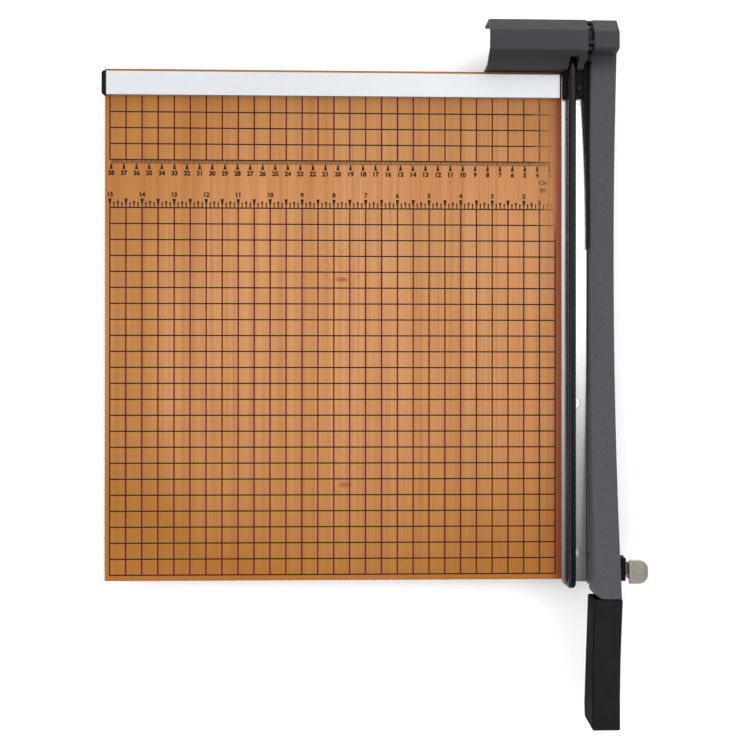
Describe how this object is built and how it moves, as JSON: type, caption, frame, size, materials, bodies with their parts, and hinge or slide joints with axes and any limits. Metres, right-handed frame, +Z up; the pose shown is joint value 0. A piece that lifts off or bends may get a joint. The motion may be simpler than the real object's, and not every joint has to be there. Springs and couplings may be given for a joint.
{
  "type": "guillotine paper cutter",
  "caption": "Guillotine paper cutter with a gridded wooden bed, steel bed knife, finger guard, alignment rule and a bowed cast arm with a thumb latch.",
  "frame": {"origin": "on the table, under the middle of the closed cutter's bounding box", "axes": "+X to the right, towards the arm; +Y to the rear, towards the pivot; +Z up"},
  "size_m": [0.4334, 0.5606, 0.0646],
  "materials": {
    "wood_board": "satin lacquer",
    "bed_steel": "ground and polished",
    "blade_steel": "ground",
    "screw_steel": "zinc plated",
    "spring_steel": "oiled",
    "dark_steel": "black oxide",
    "rule_aluminium": "satin anodised",
    "moulded_black": "moulded",
    "guard_black": "semi-gloss enamel",
    "coated_casting": "powder coat over cast aluminium",
    "grip_black": "moulded, fine texture",
    "bronze": "sintered bronze",
    "rubber": "matt",
    "latch_nickel": "nickel plated"
  },
  "bodies": {
    "root": {"base_board": "wood_board", "bed_plate": "bed_steel", "bed_plate_screws": "screw_steel", "ruler_bar": "rule_aluminium", "ruler_end_cap": "moulded_black", "ruler_screws": "screw_steel", "finger_guard": "guard_black", "guard_screw": "screw_steel", "pivot_housing": "coated_casting", "housing_screws": "screw_steel", "housing_foot_screw": "dark_steel", "pivot_bushings": "bronze", "travel_stop_pins": "dark_steel", "rubber_feet": "rubber", "foot_screws": "screw_steel", "latch_keeper": "dark_steel", "keeper_screws": "screw_steel"},
    "arm": {"arm_casting": "coated_casting", "blade": "blade_steel", "blade_screws": "dark_steel", "pivot_shaft": "screw_steel", "thrust_washer": "dark_steel", "tension_spring": "spring_steel", "spring_washer": "screw_steel", "lock_nut": "screw_steel", "hub_stop_pin": "dark_steel", "hub_set_screw": "dark_steel", "handle_grip": "grip_black", "grip_screws": "dark_steel", "latch_bracket": "moulded_black", "latch_bracket_screws": "dark_steel", "latch_pin": "screw_steel", "latch_pin_clips": "dark_steel", "latch_friction_washer": "bronze"},
    "latch": {"latch_lever": "latch_nickel"}
  },
  "joints": [
    {"name": "arm_hinge", "type": "hinge", "parent": "root", "child": "arm", "pos_m": [0.18025, 0.26475, 0.044], "axis": [-1, 0, 0], "range_deg": [0, 62]},
    {"name": "latch_pivot", "type": "hinge", "parent": "arm", "child": "latch", "pos_m": [0.19625, -0.15475, 0.034], "axis": [0, 1, 0], "range_deg": [0, 13]}
  ]
}
